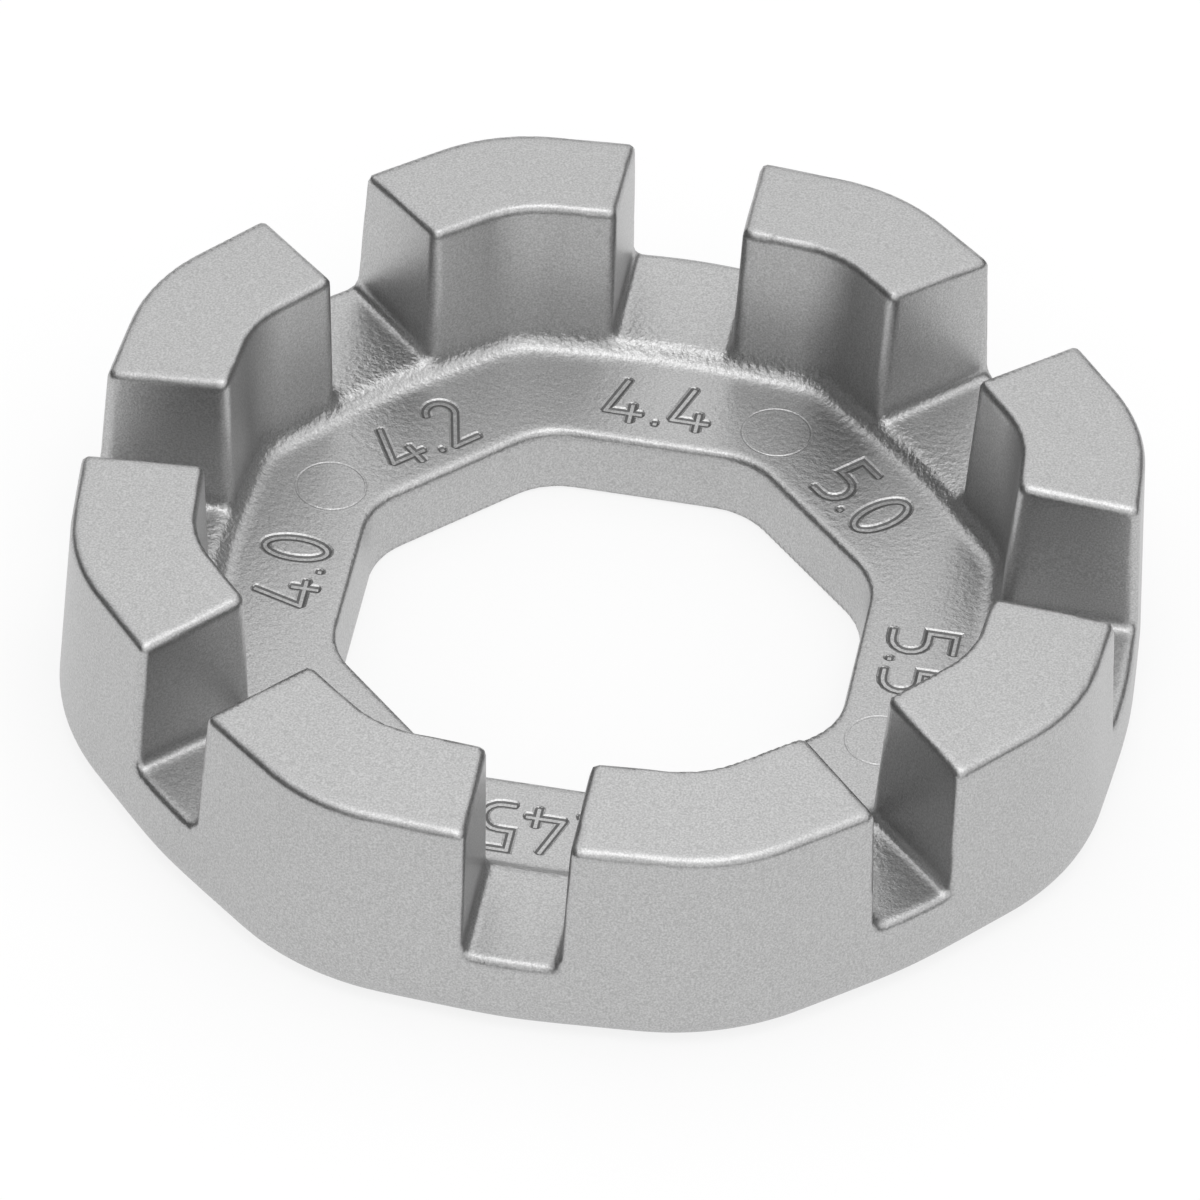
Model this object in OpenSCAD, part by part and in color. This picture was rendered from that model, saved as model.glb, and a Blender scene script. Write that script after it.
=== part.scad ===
// Ring spoke wrench, die-cast in one piece from zinc alloy.
// An octagonal ring carries eight jaws, one over each corner. The eight slots between them
// take spoke nipples of eight sizes, and an inner flange with an eight-sided hole ties the jaws together.
// The origin is at the middle of the underside, and the slot for the 5.5 mm nipple opens along +X.

/* [Ring] */
// Height from the underside to the inner edge of the jaw tops
ring_h = 9; // [7.5:0.1:12]
// Width between opposite outer walls, at the top edge
ring_af = 38; // [36.5:0.5:44]
// Radius of the outer corners, at the top edge
ring_corner_r = 11.2; // [9:0.1:14]
// Draft of the outer wall in degrees
outer_draft = 2.6; // [0.5:0.1:4]
// Radius of the lower outer edge
foot_r = 1; // [0.4:0.1:1.5]
// Radius along the upper edges of the jaws
edge_r = 0.35; // [0.2:0.05:0.6]

/* [Jaws] */
// Thickness of the jaws from their inner wall to their outer wall, at the top edge
jaw_w = 4.45; // [3.8:0.05:5.5]
// Radius of the corners of the inner wall, at the top edge
jaw_corner_r = 7; // [5:0.1:10]
// Draft of the inner wall in degrees
inner_draft = 3.2; // [0.5:0.1:5]
// Fall of the jaw tops from their inner edge to their outer edge
top_fall = 0.35; // [0.1:0.05:0.8]

/* [Slots] */
// Height of the slot floors above the underside
floor_h = 3.1; // [2.9:0.1:5]
// Play added to each nipple size, at the slot floor
slot_play = 0.06; // [0:0.01:0.2]
// Draft of the slot walls in degrees
slot_draft = 1.2; // [0:0.1:2]
// Radius between the slot floor and its walls
slot_fillet_r = 0.4; // [0.1:0.05:0.8]
// Nipple size of the slot at 0 degrees, on +X
size_at_0 = 5.5; // [3:0.05:6]
// Nipple size of the slot at 45 degrees
size_at_45 = 5; // [3:0.05:6]
// Nipple size of the slot at 90 degrees, on +Y
size_at_90 = 4.4; // [3:0.05:6]
// Nipple size of the slot at 135 degrees
size_at_135 = 4.2; // [3:0.05:6]
// Nipple size of the slot at 180 degrees, on -X
size_at_180 = 4; // [3:0.05:6]
// Nipple size of the slot at 225 degrees
size_at_225 = 3.7; // [3:0.05:6]
// Nipple size of the slot at 270 degrees, on -Y
size_at_270 = 3.45; // [3:0.05:6]
// Nipple size of the slot at 315 degrees
size_at_315 = 3.3; // [3:0.05:6]

/* [Flange] */
// Height of the inner flange above the underside
flange_h = 2.6; // [1.8:0.1:2.8]
// Radius between the flange and the inner wall
lip_r = 0.45; // [0.2:0.05:0.7]
// Width of the flange from the inner wall to the hole
flange_w = 4.84; // [3.5:0.05:6]
// Radius of the corners of the hole, at its upper edge
hole_corner_r = 2.9; // [1.5:0.1:5]
// Draft of the hole in degrees: it narrows towards the underside
hole_draft = 6; // [0:0.5:8]
// Radius along the upper edge of the hole
hole_edge_r = 0.3; // [0.1:0.05:0.5]

/* [Hidden] */

// The ring has one side, one slot and one corner in each of eight equal steps
sides = 8;
step = 360 / sides;
half = step / 2;
sizes = [size_at_0, size_at_45, size_at_90, size_at_135, size_at_180, size_at_225, size_at_270, size_at_315];
// Flats that an edge radius is drawn with
edge_steps = 4;
// Cutting tools reach this far past the faces that they cut
overrun = 1;
// Corner tools stand out by this much, so that they cross the sides and don't just touch them
cross = 0.02;
$fn = 64;

// Sideways growth of a drafted wall over a height
function lean(height, angle) = height * tan(angle);
function unit(v) = v / norm(v);
function turned(v, a) = [v.x * cos(a) - v.y * sin(a), v.x * sin(a) + v.y * cos(a)];
// Point on the line from b through a, past a by the overrun
function past(a, b) = a + unit(a - b) * overrun;

// Widths across the inner walls at the jaw tops, and across the hole at its upper edge
jaw_af = ring_af - 2 * jaw_w;
hole_af = jaw_af - 2 * lean(ring_h - flange_h, inner_draft) - 2 * flange_w;

// Points of the arc of radius r that replaces corner b, from the side of a to the side of c
function round_corner(a, b, c, r) =
    let (u = unit(a - b), v = unit(c - b), half_angle = acos(u * v) / 2)
    let (centre = b + unit(u + v) * r / sin(half_angle))
    let (from = b + u * r / tan(half_angle) - centre, to = b + v * r / tan(half_angle) - centre)
    let (turn = atan2(from.x * to.y - from.y * to.x, from * to))
    [for (j = [0:edge_steps]) centre + turned(from, turn * j / edge_steps)];

// Solid with a rounded octagon as its plan, cut from a disc. The section runs upwards. Each of its
// points has a distance out from the corner centres and a height, so draft and edge radii run round
// sides and corners alike: one tool shapes each side, and one tool turned about its centre each corner.
module octagon_solid(af, r, section) {
    flat_reach = af / 2 - r;
    last = len(section) - 1;
    low = section[0];
    high = section[last];
    out = max([for (p = section) p.x]) + r + overrun;
    outside = concat(
        [past(low, section[1])], section, [past(high, section[last - 1])],
        [[out, high.y + 2 * overrun], [out, low.y - 2 * overrun]]);
    difference() {
        translate([0, 0, low.y]) cylinder(h = high.y - low.y, r = flat_reach / cos(half) + out - overrun);
        for (k = [0:sides - 1]) rotate(k * step) {
            translate([flat_reach, 0, 0]) rotate([90, 0, 0])
                linear_extrude(2 * (flat_reach + out), center = true) polygon(outside);
            rotate(half) translate([flat_reach / cos(half) + cross, 0, 0]) rotate(-half)
                rotate_extrude(angle = step) polygon(outside);
        }
    }
}

// Section of the whole ring: round lower edge, drafted outer wall and tops that fall outwards
function ring_section() =
    let (foot = [ring_corner_r + lean(ring_h - top_fall, outer_draft), 0])
    let (top_edge = [ring_corner_r, ring_h - top_fall], inner_edge = [ring_corner_r - jaw_w, ring_h])
    concat(
        round_corner([0, 0], foot, top_edge, foot_r),
        round_corner(foot, top_edge, inner_edge, edge_r),
        [past(inner_edge, top_edge)]);

// Section of the space inside the jaws, from the flange up, with the round edge of the jaw tops
function inner_section() =
    let (foot = [jaw_corner_r - lean(ring_h - flange_h, inner_draft), flange_h])
    let (top_edge = [jaw_corner_r, ring_h], rim = [jaw_corner_r + edge_r + overrun, ring_h])
    concat(
        round_corner([0, flange_h], foot, top_edge, lip_r),
        round_corner(foot, top_edge, rim, edge_r),
        [[jaw_corner_r + edge_r, ring_h + overrun]]);

// Section of the hole, which narrows downwards and has a round upper edge
function hole_section() =
    let (low = [hole_corner_r - lean(flange_h + overrun, hole_draft), -overrun])
    let (top_edge = [hole_corner_r, flange_h], rim = [hole_corner_r + hole_edge_r + overrun, flange_h])
    concat(
        [low],
        round_corner(low, top_edge, rim, hole_edge_r),
        [[hole_corner_r + hole_edge_r, flange_h + overrun]]);

// Section across a slot for one nipple size: drafted walls and round lower corners
module slot_section(size) {
    w = (size + slot_play) / 2;
    w_top = w + lean(ring_h + overrun - floor_h, slot_draft);
    left = [-w, floor_h];
    right = [w, floor_h];
    left_top = [-w_top, ring_h + overrun];
    right_top = [w_top, ring_h + overrun];
    polygon(concat(
        [left_top],
        round_corner(left_top, left, right, slot_fillet_r),
        round_corner(left, right, right_top, slot_fillet_r),
        [right_top]));
}

// One slot runs straight out from the space inside the jaws through the outer wall
module slot(size) {
    start = jaw_af / 2 - lean(ring_h, inner_draft) - overrun;
    end = ring_af / 2 + lean(ring_h, outer_draft) + overrun;
    translate([end, 0, 0]) rotate([90, 0, -90]) linear_extrude(end - start) slot_section(size);
}

module wrench_body() {
    color("darkgray") difference() {
        octagon_solid(ring_af, ring_corner_r, ring_section());
        octagon_solid(jaw_af, jaw_corner_r, inner_section());
        octagon_solid(hole_af, hole_corner_r, hole_section());
        for (k = [0:sides - 1]) rotate(k * step) slot(sizes[k]);
    }
}

wrench_body();
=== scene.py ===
"""Looks of an eight-size ring spoke wrench, die-cast in zinc alloy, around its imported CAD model."""
import math

import bpy
from mathutils import Matrix, Vector


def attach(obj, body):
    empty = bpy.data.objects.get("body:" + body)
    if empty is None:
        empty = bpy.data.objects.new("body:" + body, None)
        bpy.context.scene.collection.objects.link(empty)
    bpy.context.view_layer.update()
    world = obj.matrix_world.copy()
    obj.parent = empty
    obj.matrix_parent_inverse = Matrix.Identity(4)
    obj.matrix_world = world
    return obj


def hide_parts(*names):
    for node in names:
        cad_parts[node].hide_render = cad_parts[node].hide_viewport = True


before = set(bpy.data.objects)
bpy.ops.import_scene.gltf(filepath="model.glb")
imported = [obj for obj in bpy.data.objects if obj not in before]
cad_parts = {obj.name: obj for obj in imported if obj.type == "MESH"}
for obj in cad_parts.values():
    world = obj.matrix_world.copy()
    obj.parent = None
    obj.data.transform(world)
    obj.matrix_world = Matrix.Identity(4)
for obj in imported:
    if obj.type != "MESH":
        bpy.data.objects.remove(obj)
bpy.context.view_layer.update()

bl_info = {
    "name": "Ring spoke wrench",
    "version": (1, 0, 0),
    "blender": (4, 5, 0),
    "location": "3D View > Sidebar > Wrench",
    "description": "Makes a die-cast ring wrench for spoke nipples and its plain stage",
    "category": "Add Mesh",
}

MM = 0.001
# The ring has this many sides, each with one slot in its middle, and so much of a turn lies between two of them
SIDES = 8
STEP = 2 * math.pi / SIDES

# Kinds of node and of socket that the trees below use
VECTOR = "ShaderNodeVectorMath"
SPLIT = "ShaderNodeSeparateXYZ"
JOIN = "ShaderNodeCombineXYZ"
RANGE = "ShaderNodeMapRange"
NOISE = "ShaderNodeTexNoise"
BUMP = "ShaderNodeBump"
GROUP = "GeometryNodeGroup"
READ = "GeometryNodeInputNamedAttribute"
STORE = "GeometryNodeStoreNamedAttribute"
PLACE = "GeometryNodeSetPosition"
FLOAT, VEC3, GEOMETRY = "NodeSocketFloat", "NodeSocketVector", "NodeSocketGeometry"


def linear(hex_colour):
    """A '#rrggbb' sRGB colour as linear RGBA."""
    values = [int(hex_colour[i:i + 2], 16) / 255 for i in (1, 3, 5)]
    return [v / 12.92 if v <= 0.04045 else ((v + 0.055) / 1.055) ** 2.4 for v in values] + [1.0]


def length(name, description, millimetres):
    """A size, given in millimetres and kept in metres."""
    return bpy.props.FloatProperty(
        name=name, description=description, default=millimetres * MM, min=0, precision=5,
        subtype="DISTANCE", unit="LENGTH")


def angle(name, description, degrees, least=0, most=20):
    """An angle, given in degrees and kept in radians. Its usual limits are those of a draft."""
    return bpy.props.FloatProperty(
        name=name, description=description, default=math.radians(degrees), min=math.radians(least),
        max=math.radians(most), subtype="ANGLE", unit="ROTATION")


def fraction(name, description, value, least=0):
    """A share, at most one."""
    return bpy.props.FloatProperty(
        name=name, description=description, default=value, min=least, max=1, subtype="FACTOR")


def colour(name, description, hex_colour):
    """A colour, given as sRGB and kept linear."""
    return bpy.props.FloatVectorProperty(
        name=name, description=description, default=linear(hex_colour), min=0, max=1, size=4, subtype="COLOR")


class CastingSizes(bpy.types.PropertyGroup):
    """Sizes of the casting. They follow the CAD model, and add small radii and the bend of the walls."""

    ring_height: length("Ring height", "From the underside to the inner edge of the jaw tops", 9.0)
    face_turn: angle("Face turn", "Turn of the two halves of each side away from each other, inside and outside", 5.0)
    face_blend: length("Face blend", "Half width of the soft bend between the halves", 1.5)
    outer_reach: length("Outer reach", "From the middle to the faces of the outer wall, at the jaw tops", 19.12)
    outer_corner: length("Outer corner radius", "Radius of the outer corners, at the jaw tops", 7.0)
    corner_growth: fraction("Corner growth", "Growth of the outer corner radius for each unit of depth", 0.35)
    outer_draft: angle("Outer draft", "Draft of the outer wall", 2.6)
    foot_radius: length("Foot radius", "Radius of the lower outer edge", 1.1)
    edge_radius: length("Edge radius", "Radius along the upper edges of the jaws", 0.27)
    jaw_reach: length("Jaw reach", "From the middle to the faces of the inner wall, at the jaw tops", 14.67)
    jaw_corner: length("Jaw corner radius", "Radius of the corners of the inner wall, at the jaw tops", 4.2)
    corner_shrink: fraction("Corner shrink", "Loss of the inner corner radius for each unit of depth", 0.2)
    jaw_draft: angle("Jaw draft", "Draft of the inner wall", 3.2)
    top_fall: length("Top fall", "Fall of the jaw tops from their inner edge to their outer edge", 0.35)
    floor_height: length("Slot floor height", "Height of the slot floors above the underside", 3.1)
    slot_play: length("Slot play", "Play added to each nipple size", 0.06)
    slot_draft: angle("Slot draft", "Draft of the slot walls", 1.2)
    slot_fillet: length("Slot fillet", "Radius between a slot's floor and its walls", 0.4)
    mouth_radius: length("Mouth radius", "Radius round the mouths and the upright edges of the slots", 0.3)
    flange_height: length("Flange height", "Height of the inner flange", 2.6)
    lip_radius: length("Lip radius", "Radius between the flange and the inner wall", 0.75)
    hole_reach: length("Hole reach", "From the middle to the side of the hole, at the flange", 9.35)
    hole_corner: length("Hole corner radius", "Radius of the corners of the hole", 2.9)
    hole_draft: angle("Hole draft", "Draft of the hole, which narrows downwards", 6.0)
    hole_edge: length("Hole edge radius", "Radius along the upper edge of the hole", 0.22)
    slot_0: length("Slot at 0", "Nipple size of the slot on +X", 5.5)
    slot_1: length("Slot at 45", "Nipple size of the slot at 45 degrees", 5.0)
    slot_2: length("Slot at 90", "Nipple size of the slot on +Y", 4.4)
    slot_3: length("Slot at 135", "Nipple size of the slot at 135 degrees", 4.2)
    slot_4: length("Slot at 180", "Nipple size of the slot on -X", 4.0)
    slot_5: length("Slot at 225", "Nipple size of the slot at 225 degrees", 3.7)
    slot_6: length("Slot at 270", "Nipple size of the slot on -Y", 3.45)
    slot_7: length("Slot at 315", "Nipple size of the slot at 315 degrees", 3.3)
    grid_step: length("Grid step", "Spacing of the grid that the casting's skin is drawn on", 0.215)


class NumberSizes(bpy.types.PropertyGroup):
    """Sizes of the grooves that draw the size numbers and the ejector marks on the flange."""

    floor_width: length("Stroke floor width", "Width of the flat floor of a number's strokes", 0.13)
    wall_width: length("Stroke wall width", "Width of each dark wall of the strokes, seen from above", 0.1)
    wall_height: length("Stroke wall height", "Height of the walls above the floor", 0.03)
    rim_width: length("Stroke rim width", "Width of each worn rim of the strokes, seen from above", 0.08)
    rim_height: length("Stroke rim height", "Height of the rims above the walls", 0.035)
    nose_length: length("Nose length", "Length of the round nose at each end of a stroke", 0.17)
    mark_radius: length("Mark radius", "Radius of the round marks of the ejector pins", 1.28)
    mark_centre: length("Mark centre", "Distance of the marks from the middle of the ring", 11.85)
    mark_share: fraction("Mark share", "Width and depth of a mark's rim, as a share of a stroke's", 0.22, least=0.05)


class FinishSettings(bpy.types.PropertyGroup):
    """Colours and grain of the casting's skin, and the painted shade on the walls of the numbers."""

    tops: colour("Grain tops", "Colour of the tops of the grains", "#cccccc")
    pits: colour("Grain pits", "Colour of the pits between the grains", "#aeaeae")
    roughness: fraction("Roughness", "Roughness of the tumbled skin", 0.38)
    fine_width: length("Fine grain width", "Width of the grain that the skin has all over", 0.07)
    fine_depth: length("Fine grain depth", "Depth of the fine grain", 0.012)
    fine_strength: fraction("Fine grain strength", "Share of its depth that the fine grain shows", 0.5)
    coarse_width: length("Coarse grain width", "Width of the grain where the tumbling can't reach", 0.22)
    coarse_depth: length("Coarse grain depth", "Depth of the coarse grain on the lip", 0.05)
    flange_share: fraction("Flange share", "Coarse grain on the flange, as a share of the lip's", 0.45)
    outer_share: fraction("Outer share", "Coarse grain at the outer ends of the slot floors, as a share", 0.3)
    # Painted shade: a dull dark colour for the walls of the numbers, and its share, standing in for the shade in their
    # grooves
    painted_shade: colour("Oxide", "Colour of the dull oxide on the walls of the numbers", "#505050")
    painted_shade_share: fraction("Oxide share", "Share of those walls that the oxide covers", 0.85)


class StageSettings(bpy.types.PropertyGroup):
    """The camera's place, the paper on the floor and the light."""

    azimuth: angle("Azimuth", "Turn of the camera round the wrench, from the front", 7.907, least=-180, most=180)
    elevation: angle("Elevation", "Height of the camera above the horizon", 42.801, least=-90, most=90)
    roll: angle("Roll", "Turn of the camera about its own axis", 3.098, least=-180, most=180)
    distance: length("Distance", "From the camera to the point that it looks at", 570.32)
    lens: bpy.props.FloatProperty(
        name="Lens", description="Focal length for a sensor 36 mm wide", default=470.82, min=1, unit="CAMERA")
    target: bpy.props.FloatVectorProperty(
        name="Target", description="Point that the camera looks at", default=(-0.00019, 0.000195, 0.003),
        subtype="XYZ", unit="LENGTH")
    paper: colour("Paper", "Colour of the paper on the floor", "#f3f3f3")
    paper_white: fraction("Paper white", "Share of plain white in what the camera and the metal see of the paper", 0.8)
    surround: bpy.props.FloatProperty(
        name="Surround", description="Brightness of the pale surround", default=1.04, min=0)
    softbox_level: bpy.props.FloatProperty(
        name="Softbox", description="Brightness of the softbox overhead", default=1.35, min=0)
    softbox_size: length("Softbox size", "Side of the square softbox", 320)
    softbox_shift: length("Softbox shift", "Shift of the softbox to the right and to the front", 50)
    softbox_height: length("Softbox height", "Height of the softbox above the floor", 500)
    floor_size: length("Floor size", "Side of the square floor", 4000)
    flag_level: fraction("Flags", "Share of the light that the grey cards round the stage send back", 0.08)
    flag_height: length("Flag height", "Height of the lowest corner of the grey cards", 100)
    flag_lift: length("Flag lift", "Height of the lower edges of the grey cards", 1)
    flag_reach: length("Flag reach", "Distance of the corners of the grey cards from the middle", 700)


def fill(tree, socket, value):
    """Links an input to a node or a socket, or sets its value. None leaves it as it is."""
    if isinstance(value, bpy.types.Node):
        value = value.outputs[0]
    if isinstance(value, bpy.types.NodeSocket):
        tree.links.new(value, socket)
    elif value is not None:
        socket.default_value = value


def add(tree, kind, *values, inputs=None, **settings):
    """Adds a node with its settings, and fills its inputs, first in their order and then by their names.

    A kind in capitals is an operation of the Math node.
    """
    if kind.isupper():
        kind, settings["operation"] = "ShaderNodeMath", kind
    node = tree.nodes.new(kind)
    for name, value in settings.items():
        setattr(node, name, value)
    for socket, value in zip(node.inputs, values):
        fill(tree, socket, value)
    for name, value in (inputs or {}).items():
        fill(tree, node.inputs[name], value)
    return node


def new_group(name, inputs, outputs):
    """A node group with named inputs and outputs, each a (name, socket type, default) tuple."""
    group = bpy.data.node_groups.new(name, "GeometryNodeTree")
    for way, sockets in (("INPUT", inputs), ("OUTPUT", outputs)):
        for label, kind, default in sockets:
            socket = group.interface.new_socket(label, in_out=way, socket_type=kind)
            if default is not None:
                socket.default_value = default
    return group, group.nodes.new("NodeGroupInput"), group.nodes.new("NodeGroupOutput")


def octagon_group():
    """Distance from a rounded octagon whose sides may bend outwards in the middle.

    Along runs across a side, outwards, and Aside runs along it. Turn is the turn of each half of a side, and Blend is
    the half width of the soft bend between the halves.
    """
    names = "Along", "Aside", "Reach", "Corner radius", "Turn", "Blend"
    group, given, result = new_group("Rounded octagon", [(n, FLOAT, 0.0) for n in names], [("Distance", FLOAT, None)])
    along, aside, reach, radius, turn, blend = (given.outputs[n] for n in names)
    cosine, sine = add(group, "COSINE", turn), add(group, "SINE", turn)
    smooth = add(group, VECTOR, add(group, JOIN, aside, blend, 0.0), operation="LENGTH").outputs["Value"]
    across = add(group, "ADD", add(group, "MULTIPLY", along, cosine), add(group, "MULTIPLY", smooth, sine))
    aside = add(group, "SUBTRACT", add(group, "MULTIPLY", add(group, "ABSOLUTE", aside), cosine),
                add(group, "MULTIPLY", along, sine))
    inset = add(group, "SUBTRACT", reach, radius)
    past = add(group, "SUBTRACT", across, inset)
    half_side = add(group, "MULTIPLY", inset, add(group, "TANGENT", add(group, "SUBTRACT", STEP / 2, turn)))
    beside = add(group, "MAXIMUM", add(group, "SUBTRACT", aside, half_side), 0.0)
    outside = add(group, "MAXIMUM", past, 0.0)
    inside = add(group, "MINIMUM", past, 0.0)
    gap = add(group, VECTOR, add(group, JOIN, outside, beside, 0.0), operation="LENGTH").outputs["Value"]
    fill(group, result.inputs["Distance"], add(group, "SUBTRACT", add(group, "ADD", gap, inside), radius))
    return group


def round_meet_group():
    """Distance from the overlap of two solids, with a radius along the edge where their faces meet."""
    names = "First", "Second", "Radius"
    group, given, result = new_group("Round meet", [(n, FLOAT, 0.0) for n in names], [("Distance", FLOAT, None)])
    first, second, radius = (given.outputs[n] for n in names)
    over = [add(group, "MAXIMUM", add(group, "ADD", side, radius), 0.0) for side in (first, second)]
    arc = add(group, VECTOR, add(group, JOIN, *over, 0.0), operation="LENGTH").outputs["Value"]
    deepest = add(group, "MAXIMUM", first, second)
    core = add(group, "MINIMUM", deepest, add(group, "MULTIPLY", radius, -1.0))
    fill(group, result.inputs["Distance"], add(group, "ADD", arc, core))
    return group


def size_inputs():
    """The casting's sizes as sockets, in the order of the property group."""
    return [(prop.name, FLOAT, prop.default) for prop in CastingSizes.bl_rna.properties
            if prop.identifier in CastingSizes.__annotations__]


def distance_group():
    """Distance from the casting's skin: a castellated octagon ring with drafted walls and cast radii."""
    octagon, meet = octagon_group(), round_meet_group()
    group, given, result = new_group(
        "Casting distance", [("Position", VEC3, None)] + size_inputs(), [("Distance", FLOAT, None)])
    size = given.outputs
    x, y, z = add(group, SPLIT, size["Position"]).outputs
    # The side that a point lies on, and the point turned so that this side faces +X
    side = add(group, "ROUND", add(group, "DIVIDE", add(group, "ARCTAN2", y, x), STEP))
    turn = add(group, "MULTIPLY", side, STEP)
    cosine, sine = add(group, "COSINE", turn), add(group, "SINE", turn)
    along = add(group, "ADD", add(group, "MULTIPLY", x, cosine), add(group, "MULTIPLY", y, sine))
    aside = add(group, "SUBTRACT", add(group, "MULTIPLY", y, cosine), add(group, "MULTIPLY", x, sine))

    # The outer wall spreads downwards, and its corners grow
    depth = add(group, "SUBTRACT", size["Ring height"], z)
    outer_lean = add(group, "MULTIPLY", depth, add(group, "TANGENT", size["Outer draft"]))
    outer_reach = add(group, "ADD", size["Outer reach"], outer_lean)
    outer_corner = add(group, "MULTIPLY_ADD", depth, size["Corner growth"], size["Outer corner radius"])
    faces = size["Face turn"], size["Face blend"]
    outer = add(group, GROUP, along, aside, outer_reach, outer_corner, *faces, node_tree=octagon)

    # The space inside the jaws narrows downwards to the flange, and its corners shrink
    jaw_lean = add(group, "MULTIPLY", depth, add(group, "TANGENT", size["Jaw draft"]))
    jaw_reach = add(group, "SUBTRACT", size["Jaw reach"], jaw_lean)
    jaw_corner = add(group, "MULTIPLY_ADD", depth, add(group, "MULTIPLY", size["Corner shrink"], -1.0),
                     size["Jaw corner radius"])
    jaw = add(group, GROUP, along, aside, jaw_reach, jaw_corner, *faces, node_tree=octagon)
    above_flange = add(group, "SUBTRACT", size["Flange height"], z)
    space = add(group, GROUP, jaw, above_flange, size["Lip radius"], node_tree=meet)

    # The jaw tops fall outwards, from the outline that the inner wall has at the top
    rim = add(group, GROUP, along, aside, size["Jaw reach"], size["Jaw corner radius"], *faces, node_tree=octagon)
    top_width = add(group, "SUBTRACT", size["Outer reach"], size["Jaw reach"])
    fallen = add(group, "MAXIMUM", add(group, "DIVIDE", rim, top_width), 0.0)
    top = add(group, "SUBTRACT", add(group, "MULTIPLY", fallen, size["Top fall"]), depth)

    skin = add(group, GROUP, outer, top, size["Edge radius"], node_tree=meet)
    skin = add(group, GROUP, skin, add(group, "MULTIPLY", z, -1.0), size["Foot radius"], node_tree=meet)
    skin = add(group, GROUP, skin, add(group, "MULTIPLY", space, -1.0), size["Edge radius"], node_tree=meet)

    # Each side has a slot of its own width, which widens upwards
    nipple = add(group, "GeometryNodeIndexSwitch", data_type="FLOAT")
    while len(nipple.index_switch_items) < SIDES:
        nipple.index_switch_items.new()
    fill(group, nipple.inputs["Index"], add(group, "FLOORED_MODULO", side, float(SIDES)))
    for number in range(SIDES):
        fill(group, nipple.inputs[str(number)], size[f"Slot at {360 * number // SIDES}"])
    half_width = add(group, "MULTIPLY", add(group, "ADD", nipple, size["Slot play"]), 0.5)
    above_floor = add(group, "SUBTRACT", z, size["Slot floor height"])
    slot_half = add(group, "MULTIPLY_ADD", above_floor, add(group, "TANGENT", size["Slot draft"]), half_width)
    slot_wall = add(group, "SUBTRACT", add(group, "ABSOLUTE", aside), slot_half)
    below_floor = add(group, "MULTIPLY", above_floor, -1.0)
    slot = add(group, GROUP, slot_wall, below_floor, size["Slot fillet"], node_tree=meet)
    skin = add(group, GROUP, skin, add(group, "MULTIPLY", slot, -1.0), size["Mouth radius"], node_tree=meet)

    hole_lean = add(group, "MULTIPLY", above_flange, add(group, "TANGENT", size["Hole draft"]))
    hole_reach = add(group, "SUBTRACT", size["Hole reach"], hole_lean)
    hole = add(group, GROUP, along, aside, hole_reach, size["Hole corner radius"], node_tree=octagon)
    skin = add(group, GROUP, skin, add(group, "MULTIPLY", hole, -1.0), size["Hole edge radius"], node_tree=meet)
    fill(group, result.inputs["Distance"], skin)
    return group


def bow(centre, radius, start, end, points=9):
    """Points of an arc with a radius each way, between two angles in degrees."""
    return [(centre[0] + radius[0] * math.cos(math.radians(start + (end - start) * i / (points - 1))),
             centre[1] + radius[1] * math.sin(math.radians(start + (end - start) * i / (points - 1))))
            for i in range(points)]


# The digits, in millimetres: each has its width, and its strokes from its left side and its foot
DIGIT_HEIGHT = 2.31
# Height of the middle of the lower bows of the 3 and the 5
BELLY = 0.66
DIGITS = {
    ".": (0.3, [[(0.13, 0.08), (0.17, 0.08)]]),
    "0": (1.1, [bow((0.55, DIGIT_HEIGHT / 2), (0.55, DIGIT_HEIGHT / 2), 0, 360, points=33)]),
    "2": (1.1, [bow((0.54, 1.77), (0.54, 0.56), 165, -25, points=12) + [(0.0, 0.0)], [(0.0, 0.0), (1.02, 0.0)]]),
    "3": (1.15, [[(0.08, DIGIT_HEIGHT), (1.02, DIGIT_HEIGHT)], [(1.02, DIGIT_HEIGHT), (0.45, 2 * BELLY)],
                 bow((0.5, BELLY), (0.65, BELLY), 95, -90) + [(0.08, 0.0)]]),
    "4": (1.42, [[(0.62, 2.2), (0.04, 0.45)], [(0.04, 0.45), (1.36, 0.45)], [(1.0, 0.9), (1.0, 0.0)]]),
    "5": (1.1, [[(0.95, DIGIT_HEIGHT), (0.0, DIGIT_HEIGHT), (0.0, 2 * BELLY)]
                + bow((0.5, BELLY), (0.62, BELLY), 90, -90) + [(0.08, 0.0)]]),
    "7": (1.15, [[(0.08, DIGIT_HEIGHT), (1.15, DIGIT_HEIGHT)], [(1.15, DIGIT_HEIGHT), (0.4, 0.08)]]),
}
DIGIT_GAP = 0.38
# The feet of the numbers stand this far from the middle of the ring, in millimetres
NUMBER_FOOT = 10.42
# The numbers by their side, counted from +X, each with its shift along the side and outwards, in millimetres
NUMBERS = (("5.5", 0.13, 0.05), ("5.0", 0.1, 0.0), ("4.4", 0.05, 0.0), ("4.2", -0.11, -0.09),
           ("4.0", -0.24, 0.0), ("3.7", 0.0, 0.2), ("3.45", -0.2, 0.27), ("3.3", 0.0, 0.2))
# Width and depth of a groove along a stroke, as shares of the whole
WHOLE = 1.0, 1.0
# A nose's steps along its length, with its width and its depth at each, as shares of the whole
NOSE_SHARES = ((0.3, 0.95, 1.0), (0.6, 0.8, 0.75), (0.85, 0.5, 0.45), (1.0, 0.15, 0.15))
# The tool that cuts a groove reaches this far above the flange, and its rims end just above it
TOOL_TOP = 0.1 * MM
RIM_LIFT = 0.002 * MM
# Points nearer to each other than this are the same
SAME_PLACE = 1e-9
# At a corner sharper than this, as the sine of half its angle, a groove's mitre grows no longer
SHARPEST_MITRE = 0.3
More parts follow.
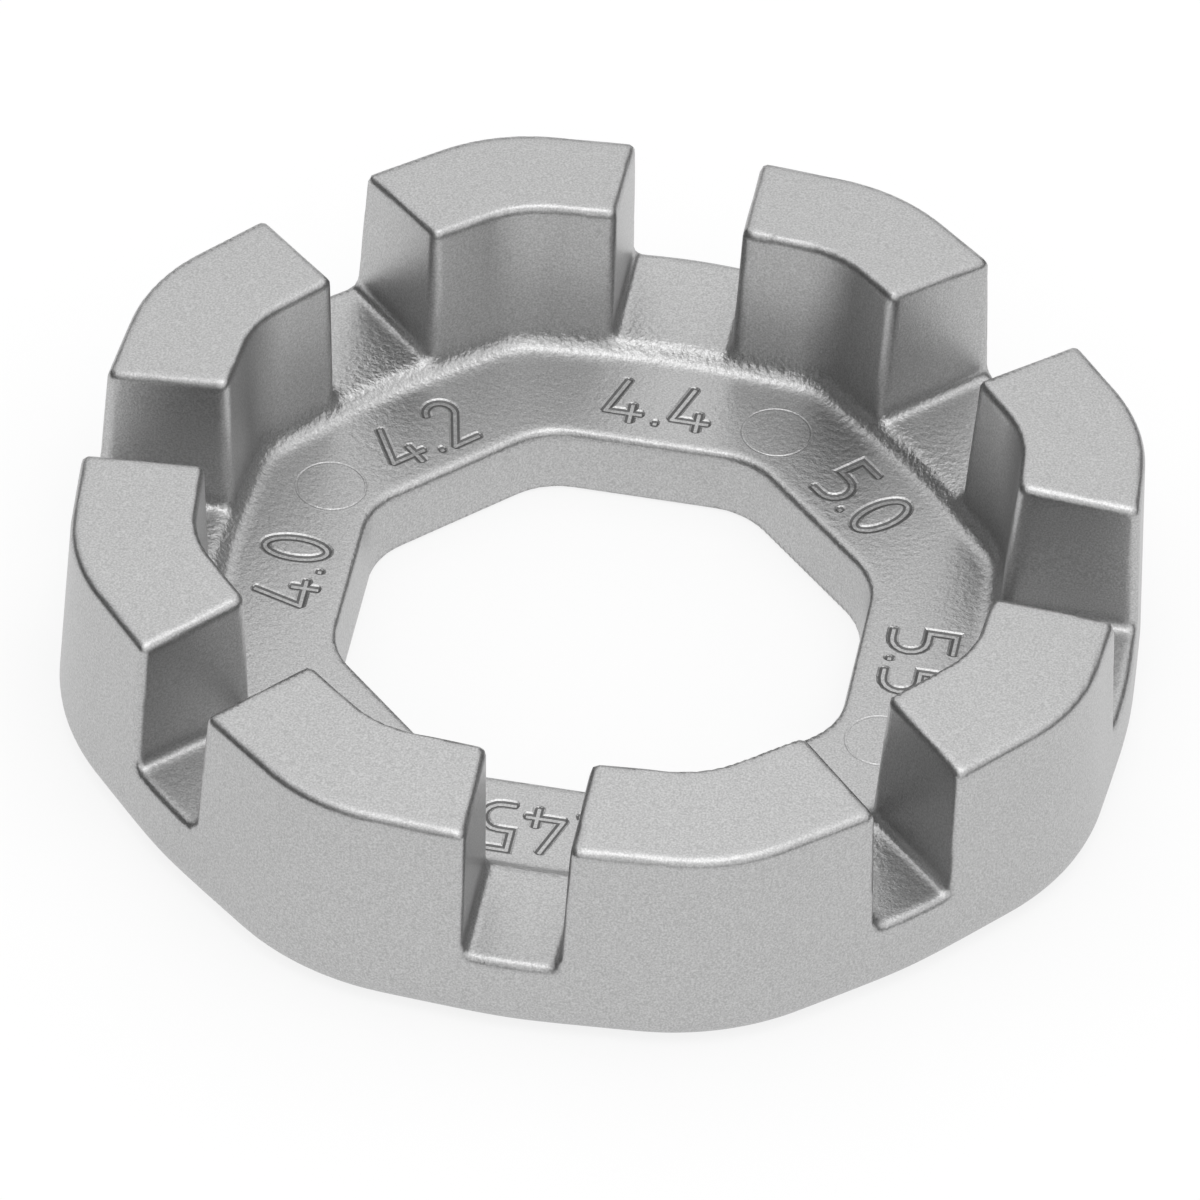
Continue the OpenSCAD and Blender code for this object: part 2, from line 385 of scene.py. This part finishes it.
# The walls of a groove end just above its floor, at this share of their height
WALL_SHARE = 0.98
# Name of the number, 0 or 1, that tells the material where a face gets painted shade: the walls of the grooves,
# darkened to stand in for the shade in them
PAINTED_SHADE = "painted shade"


def groove_outline(sizes):
    """Outline across the tool that cuts a groove: a flat floor, sloping walls and worn rims."""
    foot = sizes.floor_width / 2, -sizes.wall_height - sizes.rim_height
    brow = foot[0] + sizes.wall_width, -sizes.rim_height
    rim = brow[0] + sizes.rim_width, RIM_LIFT
    right = [foot, brow, rim, (rim[0], TOOL_TOP)]
    return right + [(-x, y) for x, y in reversed(right)]


def is_closed(line):
    """Whether a line ends where it starts."""
    return (line[0] - line[-1]).length < SAME_PLACE


def engraved_lines(sizes):
    """A mesh of edges, without faces: each line that is engraved, and the groove's outline, whose depth is nil."""
    points, edges, shares = [], [], []

    def draw(line, line_shares):
        first, count = len(points), len(line) - is_closed(line)
        points.extend(line[:count])
        shares.extend(line_shares[:count])
        edges.extend((i, i + 1) for i in range(first, len(points) - 1))
        if is_closed(line):
            edges.append((len(points) - 1, first))

    for side, (text, shift, rise) in enumerate(NUMBERS):
        # A number reads from inside the ring, so its foot is turned towards the middle
        turn = Matrix.Rotation(side * STEP - math.pi / 2, 3, "Z")
        total = sum(DIGITS[sign][0] for sign in text) + DIGIT_GAP * (len(text) - 1)
        pen = Vector((shift - total / 2, NUMBER_FOOT + rise, 0))
        for sign in text:
            width, strokes = DIGITS[sign]
            for stroke in strokes:
                line = [turn @ (pen + Vector((x, y, 0))) * MM for x, y in stroke]
                if is_closed(line):
                    draw(line, [WHOLE] * len(line))
                    continue
                noses = []
                for tip, inner in ((line[0], line[1]), (line[-1], line[-2])):
                    way = (tip - inner).normalized() * sizes.nose_length
                    noses.append([tip + way * along for along, _, _ in NOSE_SHARES])
                taper = [nose[1:] for nose in NOSE_SHARES]
                draw(noses[0][::-1] + line + noses[1], taper[::-1] + [WHOLE] * len(line) + taper)
            pen.x += width + DIGIT_GAP
    # The ejector pins stood at every second corner
    for side in range(1, SIDES, 2):
        turn = Matrix.Rotation((side + 0.5) * STEP, 3, "Z")
        rim = bow((sizes.mark_centre, 0), [sizes.mark_radius] * 2, 0, 360, points=49)
        draw([turn @ Vector((x, y, 0)) for x, y in rim], [(sizes.mark_share, sizes.mark_share)] * len(rim))
    # A sweep whose normals point upwards turns the outline's Y axis downwards
    outline = [Vector((x, -y, 0)) for x, y in reversed(groove_outline(sizes))]
    draw(outline + outline[:1], [(1.0, 0.0)] * len(outline))
    mesh = bpy.data.meshes.new("engraved lines")
    mesh.from_pydata(points, edges, [])
    widths, depths = zip(*shares)
    mesh.attributes.new("groove depth", "FLOAT", "POINT").data.foreach_set("value", depths)
    mesh.attributes.new("groove width", "FLOAT", "POINT").data.foreach_set("value", widths)
    return mesh


# Corners of a small tetrahedron, at which the distance is read for the slope of the skin
TETRAHEDRON = ((1, -1, -1), (-1, -1, 1), (-1, 1, -1), (1, 1, 1))
PROBE = 0.01 * MM


def slope_group(distance):
    """Distance from the skin, and the direction in which it grows."""
    group, given, result = new_group(
        "Casting slope", [("Position", VEC3, None)] + size_inputs(),
        [("Distance", FLOAT, None), ("Direction", VEC3, None)])
    total, slope = None, None
    for corner in TETRAHEDRON:
        place = add(group, VECTOR, given.outputs["Position"], Vector(corner) * PROBE, operation="ADD")
        reading = add(group, GROUP, place, *given.outputs[1:], node_tree=distance)
        pull = add(group, VECTOR, corner, operation="SCALE", inputs={"Scale": reading})
        slope = pull if slope is None else add(group, VECTOR, slope, pull, operation="ADD")
        total = reading if total is None else add(group, "ADD", total, reading)
    fill(group, result.inputs["Distance"], add(group, "MULTIPLY", total, 1 / len(TETRAHEDRON)))
    fill(group, result.inputs["Direction"], add(group, VECTOR, slope, operation="NORMALIZE"))
    return group


def groove_cutters(tree, given, sizes):
    """Cutters for the numbers and marks: the groove's outline is swept along each line, with mitred corners."""
    flange = given.outputs["Flange height"]
    depth, width, spread = (add(tree, READ, name, data_type="FLOAT") for name in (
        "groove depth", "groove width", "groove spread"))
    place = add(tree, "GeometryNodeInputPosition")
    x, y, z = add(tree, SPLIT, place).outputs
    parts = add(tree, "GeometryNodeSeparateGeometry", given.outputs["Geometry"], depth, domain="POINT")
    outline = add(tree, "GeometryNodeMeshToCurve", parts.outputs["Inverted"])
    lines = add(tree, PLACE, parts.outputs["Selection"], None, None, add(tree, JOIN, 0.0, 0.0, flange))
    lines = add(tree, "GeometryNodeMeshToCurve", lines)

    # At a corner the groove is widened, so that its arms keep their width
    around, inner = [], 1.0
    for offset in (-1, 1):
        near = add(tree, "GeometryNodeOffsetPointInCurve", None, offset)
        there = add(tree, "GeometryNodeSampleIndex", lines, place, near.outputs["Point Index"],
                    data_type="FLOAT_VECTOR")
        span = add(tree, VECTOR, there, place, operation="SUBTRACT")
        around.append(add(tree, VECTOR, span, operation="NORMALIZE"))
        inner = add(tree, "MULTIPLY", inner, near.outputs["Is Valid Offset"])
    bend = add(tree, VECTOR, *around, operation="DOT_PRODUCT").outputs["Value"]
    sine = add(tree, "SQRT", add(tree, "MULTIPLY", add(tree, "SUBTRACT", 1.0, bend), 0.5))
    mitre = add(tree, "DIVIDE", 1.0, add(tree, "MAXIMUM", sine, SHARPEST_MITRE))
    mitre = add(tree, "MULTIPLY_ADD", inner, add(tree, "SUBTRACT", mitre, 1.0), 1.0)
    lines = add(tree, STORE, lines, None, "groove spread", add(tree, "MULTIPLY", mitre, width), data_type="FLOAT")
    lines = add(tree, "GeometryNodeSetCurveNormal", lines, mode="Z_UP")
    swept = add(tree, "GeometryNodeCurveToMesh", lines, outline, inputs={"Scale": spread, "Fill Caps": True})

    # Mitres and tapers change the tool's height as well as its width, so the height is set again
    over = add(tree, "SUBTRACT", z, flange)
    level = add(tree, "MULTIPLY_ADD", over, add(tree, "DIVIDE", depth, spread), flange)
    swept = add(tree, PLACE, swept, None, add(tree, JOIN, x, y, level))
    # Strokes that cross are made one solid before they cut
    joined = add(tree, "GeometryNodeMeshBoolean", None, swept, operation="UNION", solver="EXACT",
                 inputs={"Self Intersection": True})
    joined = add(tree, STORE, joined, None, "groove side", True, data_type="BOOLEAN", domain="FACE")

    # The walls between the floor and the rims are marked for painted shade, a dark colour that stands in for the shade
    # in the grooves
    sunk = add(tree, "SUBTRACT", flange, z)
    below_rim = add(tree, "GREATER_THAN", sunk, sizes.rim_height)
    above_floor = add(tree, "LESS_THAN", sunk, sizes.rim_height + WALL_SHARE * sizes.wall_height)
    wall = add(tree, "MULTIPLY", below_rim, above_floor)
    return add(tree, STORE, joined, None, PAINTED_SHADE, wall, data_type="FLOAT", domain="FACE")


# The grid reaches this far past the ring's sides, as a share of its reach, and so many steps past its top and foot
GRID_MARGIN = 1.08
SPARE_STEPS = 3.0
# The grid's density is this at the skin, and it grows so much with each step inwards
SKIN_DENSITY = 0.5
STEP_DENSITY = 0.1
# Times that the skin is pulled onto the exact surface
PULLS = 3


def casting_tree(material, number_sizes):
    """The casting: a grid of distances is skinned, and the skin is pulled onto the exact surface."""
    distance = distance_group()
    slope = slope_group(distance)
    tree, given, result = new_group(
        "Ring spoke wrench casting", [("Geometry", GEOMETRY, None)] + size_inputs(), [("Geometry", GEOMETRY, None)])
    tree.is_modifier = True
    place = add(tree, "GeometryNodeInputPosition")
    sizes = given.outputs[1:]

    step = given.outputs["Grid step"]
    reach = add(tree, "MULTIPLY", given.outputs["Outer reach"], GRID_MARGIN)
    low_z = add(tree, "MULTIPLY", step, -SPARE_STEPS)
    high_z = add(tree, "MULTIPLY_ADD", step, SPARE_STEPS, given.outputs["Ring height"])
    minus = add(tree, "MULTIPLY", reach, -1.0)
    low, high = add(tree, JOIN, minus, minus, low_z), add(tree, JOIN, reach, reach, high_z)
    across = add(tree, "DIVIDE", add(tree, "MULTIPLY", reach, 2.0), step)
    upwards = add(tree, "DIVIDE", add(tree, "SUBTRACT", high_z, low_z), step)
    outwards = add(tree, "DIVIDE", add(tree, GROUP, place, *sizes, node_tree=distance), step)
    density = add(tree, "MULTIPLY_ADD", outwards, -STEP_DENSITY, SKIN_DENSITY)
    volume = add(tree, "GeometryNodeVolumeCube", density, 0.0, low, high, across, across, upwards)
    mesh = add(tree, "GeometryNodeVolumeToMesh", volume, resolution_mode="GRID",
               inputs={"Threshold": SKIN_DENSITY, "Adaptivity": 0.0})
    for _ in range(PULLS):
        near = add(tree, GROUP, place, *sizes, node_tree=slope)
        back = add(tree, "MULTIPLY", near.outputs["Distance"], -1.0)
        shift = add(tree, VECTOR, near.outputs["Direction"], operation="SCALE", inputs={"Scale": back})
        mesh = add(tree, PLACE, mesh, None, None, shift)
    mesh = add(tree, "GeometryNodeMeshBoolean", mesh, groove_cutters(tree, given, number_sizes),
               operation="DIFFERENCE", solver="MANIFOLD")
    # The grooves' narrow faces shade flat, so that the flange beside them and their floors look flat
    smooth = add(tree, "FunctionNodeBooleanMath", add(tree, READ, "groove side", data_type="BOOLEAN"), operation="NOT")
    mesh = add(tree, "GeometryNodeSetShadeSmooth", mesh, None, smooth)
    mesh = add(tree, "GeometryNodeRemoveAttribute", mesh, "groove *", pattern_mode="WILDCARD")
    mesh = add(tree, "GeometryNodeRealizeInstances", mesh)
    fill(tree, result.inputs["Geometry"], add(tree, "GeometryNodeSetMaterial", mesh, None, material))
    return tree


# Noise values at which a pit and the top of a grain have their full colour
GRAIN_STOPS = 0.3, 0.7
# The coarse grain ends above the first height, just over the slot floors, and is full below the second
COARSE_HEIGHTS = 3.9 * MM, 3.3 * MM
# It is weakest past the first distance from the middle, and full inside the second, at the jaws' inner walls
COARSE_REACHES = 17.0 * MM, 14.4 * MM
# It is weaker on the flange, up to the first height, and full on the lip from the second
LIP_HEIGHTS = 2.65 * MM, 2.9 * MM


def new_material(name):
    """A material with nodes, and its tree."""
    material = bpy.data.materials.new(name)
    material.use_nodes = True
    return material, material.node_tree


def cast_zinc(finish):
    """Zinc die-casting alloy, tumbled to a satin skin: fine grain all over, coarser where the tumbling can't reach.

    The walls of the numbers get painted shade: a dull, dark colour that stands in for the shade in the narrow grooves.
    """
    material, tree = new_material("zinc alloy, die-cast and tumbled")
    where = add(tree, "ShaderNodeTexCoord").outputs["Object"]
    # Grain finer than this wouldn't show in the render
    fine = add(tree, NOISE, where, inputs={"Scale": 1 / finish.fine_width, "Detail": 1.0})
    # Pits between the grains look darker than their tops
    tone = add(tree, "ShaderNodeValToRGB", fine)
    for stop, position, tint in zip(tone.color_ramp.elements, GRAIN_STOPS, (finish.pits, finish.tops)):
        stop.position, stop.color = position, tint
    coarse = add(tree, NOISE, where, inputs={"Scale": 1 / finish.coarse_width, "Detail": 2.0})
    x, y, z = add(tree, SPLIT, where).outputs
    from_middle = add(tree, VECTOR, add(tree, JOIN, x, y, 0.0), operation="LENGTH").outputs["Value"]
    low = add(tree, RANGE, z, *COARSE_HEIGHTS, 0.0, 1.0)
    inside = add(tree, RANGE, from_middle, *COARSE_REACHES, finish.outer_share, 1.0)
    lip = add(tree, RANGE, z, *LIP_HEIGHTS, finish.flange_share, 1.0)
    rough = add(tree, "MULTIPLY", add(tree, "MULTIPLY", low, inside), lip)
    skin = add(tree, BUMP, inputs={"Strength": finish.fine_strength, "Distance": finish.fine_depth, "Height": fine})
    peel = add(tree, BUMP, inputs={"Strength": rough, "Distance": finish.coarse_depth, "Height": coarse,
                                   "Normal": skin})
    metal = tree.nodes["Principled BSDF"]
    for name, value in (("Base Color", tone), ("Metallic", 1.0), ("Roughness", finish.roughness), ("Normal", peel)):
        fill(tree, metal.inputs[name], value)
    # Painted shade: the walls of the numbers get a dull dark diffuse colour in place of the shade that falls in the
    # grooves
    painted_shade = add(tree, "ShaderNodeBsdfDiffuse", finish.painted_shade)
    dark = add(tree, "ShaderNodeAttribute", attribute_name=PAINTED_SHADE).outputs["Fac"]
    mix = add(tree, "ShaderNodeMixShader", add(tree, "MULTIPLY", dark, finish.painted_shade_share), metal, painted_shade)
    fill(tree, tree.nodes["Material Output"].inputs["Surface"], mix)
    return material


def white_paper(settings):
    """Matt white paper. Most of what the camera and the metal see of it is plain white, so its shadows are faint."""
    material, tree = new_material("white paper")
    matt = tree.nodes["Principled BSDF"]
    for name, value in (("Base Color", settings.paper), ("Roughness", 0.9), ("Specular IOR Level", 0.0)):
        fill(tree, matt.inputs[name], value)
    path = add(tree, "ShaderNodeLightPath").outputs
    seen = add(tree, "MAXIMUM", path["Is Camera Ray"], path["Is Glossy Ray"])
    seen = add(tree, "MAXIMUM", seen, path["Is Transmission Ray"])
    white = add(tree, "ShaderNodeEmission")
    mix = add(tree, "ShaderNodeMixShader", add(tree, "MULTIPLY", seen, settings.paper_white), matt, white)
    fill(tree, tree.nodes["Material Output"].inputs["Surface"], mix)
    return material


def grey_card(level):
    """Grey card that sends back a share of white light."""
    material, tree = new_material("grey card")
    card = add(tree, "ShaderNodeEmission", inputs={"Strength": level})
    fill(tree, tree.nodes["Material Output"].inputs["Surface"], card)
    return material


def put(name, data):
    """Links a new object with this data to the scene."""
    thing = bpy.data.objects.new(name, data)
    bpy.context.scene.collection.objects.link(thing)
    return thing


class WRENCH_OT_casting(bpy.types.Operator):
    """Make the one-piece casting, with its jaws, slots, flange and size numbers"""

    bl_idname = "wrench.casting"
    bl_label = "Casting"

    def execute(self, context):
        scene = context.scene
        tree = casting_tree(cast_zinc(scene.wrench_finish), scene.wrench_numbers)
        carrier = put("carrier", engraved_lines(scene.wrench_numbers))
        modifier = carrier.modifiers.new("Casting", "NODES")
        modifier.node_group = tree
        names = {prop.name: prop.identifier for prop in CastingSizes.bl_rna.properties}
        for item in tree.interface.items_tree:
            if item.in_out == "INPUT" and item.name in names:
                modifier[item.identifier] = getattr(scene.wrench_casting, names[item.name])
        carrier.update_tag()
        context.view_layer.update()
        shape = carrier.evaluated_get(context.evaluated_depsgraph_get())
        mesh = bpy.data.meshes.new_from_object(shape)
        bpy.data.objects.remove(carrier)
        if not mesh.polygons:
            raise RuntimeError("the casting's tree made no mesh")
        mesh.name = "casting"
        casting = put("casting", mesh)
        print("casting:", len(mesh.vertices), "vertices", sum(len(p.vertices) - 2 for p in mesh.polygons), "triangles")
        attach(casting, "root")
        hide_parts("wrench_body")
        return {"FINISHED"}


# Width of the camera's sensor, in millimetres, and the nearest and farthest that it sees, in metres
SENSOR_WIDTH = 36
CLIP_START, CLIP_END = 0.01, 20
# Heights of the grey cards' corners, from the right over the back and the left to the front, as shares of the lowest
FLAG_SHARES = (3.5, 4.5, 1.0, 2.0, 11.0, 8.0, 1.0, 1.5)


class WRENCH_OT_stage(bpy.types.Operator):
    """Make the pale floor, the soft light and the camera"""

    bl_idname = "wrench.stage"
    bl_label = "Stage"

    def execute(self, context):
        scene, settings = context.scene, context.scene.wrench_stage
        around, level = math.cos(settings.azimuth), math.cos(settings.elevation)
        away = Vector((math.sin(settings.azimuth) * level, -around * level, math.sin(settings.elevation)))
        forward = -away
        right = forward.cross(Vector((0, 0, 1))).normalized()
        up = right.cross(forward)
        cosine, sine = math.cos(settings.roll), math.sin(settings.roll)
        right, up = cosine * right + sine * up, cosine * up - sine * right
        camera = put("camera", bpy.data.cameras.new("camera"))
        turn = Matrix((right, up, away)).transposed().to_4x4()
        camera.matrix_world = Matrix.Translation(Vector(settings.target) + away * settings.distance) @ turn
        camera.data.lens = settings.lens
        camera.data.sensor_width = SENSOR_WIDTH
        camera.data.clip_start, camera.data.clip_end = CLIP_START, CLIP_END
        scene.camera = camera

        # The surround is plain white, to the camera and in the metal
        scene.world = bpy.data.worlds.new("pale surround")
        scene.world.use_nodes = True
        surround = scene.world.node_tree.nodes["Background"]
        fill(scene.world.node_tree, surround.inputs["Color"], linear("#ffffff"))
        fill(scene.world.node_tree, surround.inputs["Strength"], settings.surround)

        floor = put("floor", bpy.data.meshes.new("floor"))
        reach = settings.floor_size / 2
        floor.data.from_pydata([(-reach, -reach, 0), (reach, -reach, 0), (reach, reach, 0), (-reach, reach, 0)],
                               [], [(0, 1, 2, 3)])
        floor.data.materials.append(white_paper(settings))

        # Grey cards all round, tallest on the left, keep the horizon dark in the metal. The camera doesn't see them
        flags = put("flags", bpy.data.meshes.new("flags"))
        ways = [settings.flag_reach * Vector((math.cos(k * STEP), math.sin(k * STEP))) for k in range(SIDES)]
        corners = [(*way, settings.flag_lift) for way in ways]
        corners += [(*way, settings.flag_height * share) for way, share in zip(ways, FLAG_SHARES)]
        flags.data.from_pydata(corners, [], [
            (k, SIDES + k, SIDES + (k + 1) % SIDES, (k + 1) % SIDES) for k in range(SIDES)])
        flags.data.materials.append(grey_card(settings.flag_level))
        flags.visible_camera = False
        flags.visible_diffuse = False

        # The brightness of a flat lamp is its power over pi times its area
        softbox = put("softbox", bpy.data.lights.new("softbox", "AREA"))
        softbox.data.size = settings.softbox_size
        softbox.data.energy = settings.softbox_level * math.pi * settings.softbox_size ** 2
        softbox.location = settings.softbox_shift, -settings.softbox_shift, settings.softbox_height
        scene.view_settings.view_transform = "Standard"
        return {"FINISHED"}


class WRENCH_PT_panel(bpy.types.Panel):
    """Lists the wrench's operators and settings"""

    bl_idname = "WRENCH_PT_panel"
    bl_label = "Ring spoke wrench"
    bl_space_type = "VIEW_3D"
    bl_region_type = "UI"
    bl_category = "Wrench"

    def draw(self, context):
        for operator, groups in (("wrench.casting", ("wrench_casting", "wrench_numbers", "wrench_finish")),
                                 ("wrench.stage", ("wrench_stage",))):
            self.layout.operator(operator)
            for settings in (getattr(context.scene, group) for group in groups):
                for name in type(settings).__annotations__:
                    self.layout.prop(settings, name)


# The scene keeps the settings under these names
SETTINGS = {"wrench_casting": CastingSizes, "wrench_numbers": NumberSizes, "wrench_finish": FinishSettings,
            "wrench_stage": StageSettings}
CLASSES = (*SETTINGS.values(), WRENCH_OT_casting, WRENCH_OT_stage, WRENCH_PT_panel)


def register():
    for cls in CLASSES:
        bpy.utils.register_class(cls)
    for name, group in SETTINGS.items():
        setattr(bpy.types.Scene, name, bpy.props.PointerProperty(type=group))


def unregister():
    for name in SETTINGS:
        delattr(bpy.types.Scene, name)
    for cls in reversed(CLASSES):
        bpy.utils.unregister_class(cls)


def main():
    register()
    bpy.ops.wrench.casting()
    bpy.ops.wrench.stage()


if __name__ == "__main__":
    main()
